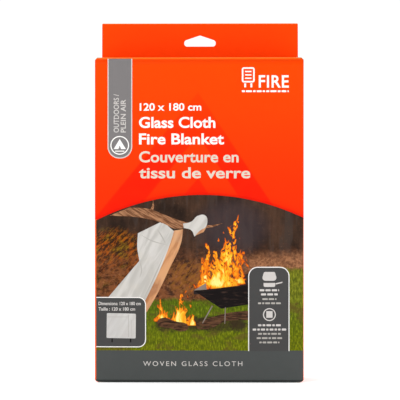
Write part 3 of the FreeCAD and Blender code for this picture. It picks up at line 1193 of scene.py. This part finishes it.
def serpentine(step, flatSteps, turnSteps):
    layer, inner = divmod(step, flatSteps + turnSteps)
    along = min(inner / flatSteps, 1)
    turn = max(inner - flatSteps, 0) / turnSteps
    return layer, along, turn


def makeBlanket():
    look = blanketLook
    low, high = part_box("blanket")
    folds = look["folds"]
    pitch = (high.y - low.y - look["thick"] - 2 * look["wave"]) / folds ** 2
    first = low.y + look["thick"] / 2 + look["wave"] + pitch / 2
    middle = (low.z + high.z) / 2
    reachX = high.x - pitch / 2 - look["slip"]
    reachZ = (high.z - low.z) / 2 - (folds - 0.5) * pitch - look["slip"]
    crossSteps = folds * look["flatSteps"] + (folds - 1) * look["crossTurnSteps"]
    longSteps = folds * look["flatSteps"] + (folds - 1) * look["longTurnSteps"]
    draw = random.Random(look["seed"])
    slips = [[draw.uniform(-1, 1) for k in range(folds + 1)] for n in range(3)]

    def slip(kind, layer, turn):
        share = turn * turn * (3 - 2 * turn)
        row = slips[kind]
        return look["slip"] * (row[layer] + (row[layer + 1] - row[layer]) * share)

    bm = bmesh.new()
    bmesh.ops.create_grid(bm, x_segments=crossSteps, y_segments=longSteps, size=1)
    cloth = bm.loops.layers.uv.new("cloth")
    flatPlace = {}
    for vert in bm.verts:
        crossStep = round((vert.co.x + 1) / 2 * crossSteps)
        longStep = round((vert.co.y + 1) / 2 * longSteps)
        layer, along, turn = serpentine(crossStep, look["flatSteps"], look["crossTurnSteps"])
        way = 1 if layer % 2 == 0 else -1
        bow = math.sin(math.pi * turn)
        x = way * ((2 * along - 1) * reachX + bow * pitch / 2)
        x += 0.5 * slip(0, layer, turn) * way
        depth = layer + (1 - math.cos(math.pi * turn)) / 2
        cellX = layer + along * (1 - look["crossTurnShare"]) + turn * look["crossTurnShare"]
        layer, along, turn = serpentine(longStep, look["flatSteps"], look["longTurnSteps"])
        way = 1 if layer % 2 == 0 else -1
        rest = depth if layer % 2 == 0 else folds - 1 - depth
        radius = folds - 0.5 - rest
        bow = math.sin(math.pi * turn)
        z = way * ((2 * along - 1) * reachZ + bow * radius * pitch)
        z += 0.7 * slip(1, layer, turn) * way
        x += 0.5 * slip(2, layer, turn)
        depth = folds * layer + folds - 0.5 - radius * math.cos(math.pi * turn)
        cellZ = layer + along * (1 - look["longTurnShare"]) + turn * look["longTurnShare"]
        wave = math.sin(x * 61 + 1.3) * math.sin(z * 43 + 0.4)
        vert.co = (x, first + depth * pitch + look["wave"] * wave, middle + z)
        flatPlace[vert] = (cellX / folds * look["wide"], cellZ / folds * look["long"])
    for face in bm.faces:
        for corner in face.loops:
            corner[cloth].uv = flatPlace[corner.vert]
    piece = newPiece(bm, "folded_blanket", glassCloth())
    wall = piece.modifiers.new("thickness", "SOLIDIFY")
    wall.thickness = look["thick"]
    wall.offset = 0
    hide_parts("blanket")
    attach(piece, "carton")


def glassCloth():
    paint = Paint("woven glass cloth", roughness=0.72, specular=0.3, sheen=0.2)
    u, v, w = paint.apart(paint.add("ShaderNodeUVMap", {"uv_map": "cloth"}))
    pitch = math.pi / 1.1
    over = (u * pitch).wave() * (v * pitch).wave()
    slub = paint.noise((u * 0.15, v * 2.2), 1, 3, 0.6)
    slubAcross = paint.noise((u * 2.2, v * 0.15, 5), 1, 3, 0.6)
    wearAndHighlight = paint.noise((u, v, 9), 0.02, 3, 0.5)
    # the sewn hem along the cut edges
    wide, long = blanketLook["wide"] / mm, blanketLook["long"] / mm
    edge = u.least(wide - u).least(v.least(long - v))
    stitched = (abs(edge - 9) < 0.45) * (((u + v) * 1.2).wave() > -0.3)
    base = paint.over(
        paint.mix(wearAndHighlight, (222, 217, 204), (206, 200, 186)),
        ((slub * slubAcross).soft(0.2, 0.42) * 0.45, (236, 232, 222)),
        ((1 - over.soft(-0.9, -0.2)) * 0.35, (168, 160, 146)),
        (stitched * 0.7, (150, 142, 128)),
    )
    paint.feed("Roughness", slub * 0.2 + 0.6)
    paint.bump(over + slub * 0.8 + slubAcross * 0.8 - stitched, 0.5, 0.15 * mm)
    return paint.done(base)


makeBlanket()
print("blanket made")


tapeLook = {
    "ply": 1.1 * mm,
    "loop": 1 * mm,
    "loopSteps": 12,
    "frontGap": 0.1 * mm,
    "backGap": 0.05 * mm,
    "backShort": 1.5 * mm,
    "frontSag": 0.1575 * mm,
    "backSag": 0.07 * mm,
}


def webbing():
    paint = Paint("black webbing", roughness=0.7, specular=0.25, sheen=0.15)
    x, y, z = paint.place()
    across = abs(x) - 38
    ribs = (across * (2 * math.pi / 1.7)).wave()
    slant = ((z + abs(across) * 1.2) * (2 * math.pi / 1.5)).wave()
    fuzz = paint.noise((x, y, z), 2.4, 3, 0.6)
    paint.feed("Roughness", fuzz * 0.25 + 0.55)
    paint.bump(ribs * 0.4 + slant + fuzz * 0.5, 0.6, 0.2 * mm)
    return paint.done(paint.mix(slant.soft(-1, 1) * 0.6 + fuzz * 0.3, (18, 18, 19), (52, 51, 52)))


def makeTapes():
    black = webbing()
    look = tapeLook
    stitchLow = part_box("tape_stitching")[0].z
    for side in ("left", "right"):
        low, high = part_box(f"pull_tape_{side}")
        front = low.y + look["ply"] / 2 + look["frontGap"]
        back = high.y - look["ply"] / 2 - look["backGap"]
        middle = (front + back) / 2
        turnZ = low.z + look["loop"] + look["ply"]
        line = [(front, high.z - (high.z - stitchLow) * k / 4) for k in range(5)]
        line += [(front, turnZ + (stitchLow - turnZ) * (6 - k) / 6) for k in range(1, 6)]
        line += arc((middle, turnZ), (back - front) / 2, 180, 360, look["loopSteps"])
        line += [(back, turnZ + (high.z - look["backShort"] - turnZ) * k / 10) for k in range(1, 11)]
        bm = sweep(line, low.x, high.x, 8)
        for vert in bm.verts:
            sag = math.sin(math.pi * min(max((vert.co.z - turnZ) / (stitchLow - turnZ), 0), 1))
            vert.co.y += sag * (look["backSag"] if vert.co.y > middle else -look["frontSag"])
        bm.normal_update()
        piece = newPiece(bm, f"webbing_tape_{side}", black)
        ply = piece.modifiers.new("ply", "SOLIDIFY")
        ply.thickness = look["ply"]
        ply.offset = 0
        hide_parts(f"pull_tape_{side}")
        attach(piece, "carton")


def thread():
    paint = Paint("sewing thread", roughness=0.6, specular=0.3)
    x, y, z = paint.place()
    twist = ((x + z) * (2 * math.pi / 0.9)).wave()
    paint.bump(twist, 0.5, 0.1 * mm)
    return paint.done(paint.mix(twist.soft(-1, 1), (38, 38, 39), (66, 65, 66)))


def driedGlue():
    paint = Paint("dried glue", roughness=0.35, specular=0.45)
    run = paint.noise(paint.place(), 0.4, 3, 0.6)
    paint.bump(run, 0.5, 0.2 * mm)
    return paint.done(paint.mix(run, (206, 186, 142), (232, 220, 190)))


def finishCadNodes():
    glue = driedGlue()
    looks = {
        "tape_stitching": thread(),
        "seam_glue": glue,
        "header_glue": glue,
        "glue_flap": inks["raw"],
    }
    for name, material in looks.items():
        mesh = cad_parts[name].data
        mesh.materials.clear()
        mesh.materials.append(material)


makeTapes()
finishCadNodes()
print("tapes, thread and glue made")


# stage, light and camera
def makeStage():
    paint = Paint("pale floor", roughness=0.9, specular=0)
    constants = {
        "Base Color": (0.93, 0.93, 0.93, 1),
        "Emission Color": (1, 1, 1, 1),
        "Emission Strength": 0.45,
    }
    for key, value in constants.items():
        paint.shader.inputs[key].default_value = value
    bm = bmesh.new()
    bmesh.ops.create_grid(bm, x_segments=1, y_segments=1, size=6)
    newPiece(bm, "floor", paint.material, smooth=False)
    world = bpy.data.worlds.new("studio")
    bpy.context.scene.world = world
    world.use_nodes = True
    # brighter behind the carton than in front of it, so that its flat front mirrors little
    tree = world.node_tree
    spot = tree.nodes.new("ShaderNodeTexCoord")
    split = tree.nodes.new("ShaderNodeSeparateXYZ")
    fade = tree.nodes.new("ShaderNodeMapRange")
    for key, value in {"From Min": -0.6, "From Max": 0.4, "To Min": 0.2, "To Max": 1.05}.items():
        fade.inputs[key].default_value = value
    background = tree.nodes["Background"]
    tree.links.new(spot.outputs["Generated"], split.inputs[0])
    tree.links.new(split.outputs["Y"], fade.inputs["Value"])
    tree.links.new(fade.outputs[0], background.inputs["Strength"])
    background.inputs["Color"].default_value = (1, 1, 1, 1)


def softLight(name, place, aim, wide, power):
    light = bpy.data.lights.new(name, "AREA")
    light.shape = "RECTANGLE"
    light.size, light.size_y = wide
    light.energy = power
    lamp = bpy.data.objects.new(name, light)
    bpy.context.scene.collection.objects.link(lamp)
    lamp.location = place
    lamp.rotation_euler = (Vector(aim) - Vector(place)).to_track_quat("-Z", "Y").to_euler()


view = {"distance": 1.25, "height": 0.1364, "side": 0.018, "aim": 0.0006, "lens": 150.75}


def makeCamera():
    data = bpy.data.cameras.new("camera")
    data.lens = view["lens"]
    data.sensor_width = 36
    camera = bpy.data.objects.new("camera", data)
    bpy.context.scene.collection.objects.link(camera)
    camera.location = (view["side"], frontFace - view["distance"], view["height"])
    turn = math.atan((view["side"] - view["aim"]) / view["distance"])
    camera.rotation_euler = (math.pi / 2, 0, turn)
    bpy.context.scene.camera = camera


makeStage()
softLight("key light", (-0.9, -1, 1.3), (0, 0, 0.12), (1, 0.8), 13.5)
softLight("fill light", (1.3, -1, 0.6), (0, 0, 0.12), (0.8, 0.8), 7)
makeCamera()
bpy.context.scene.view_settings.view_transform = "Standard"
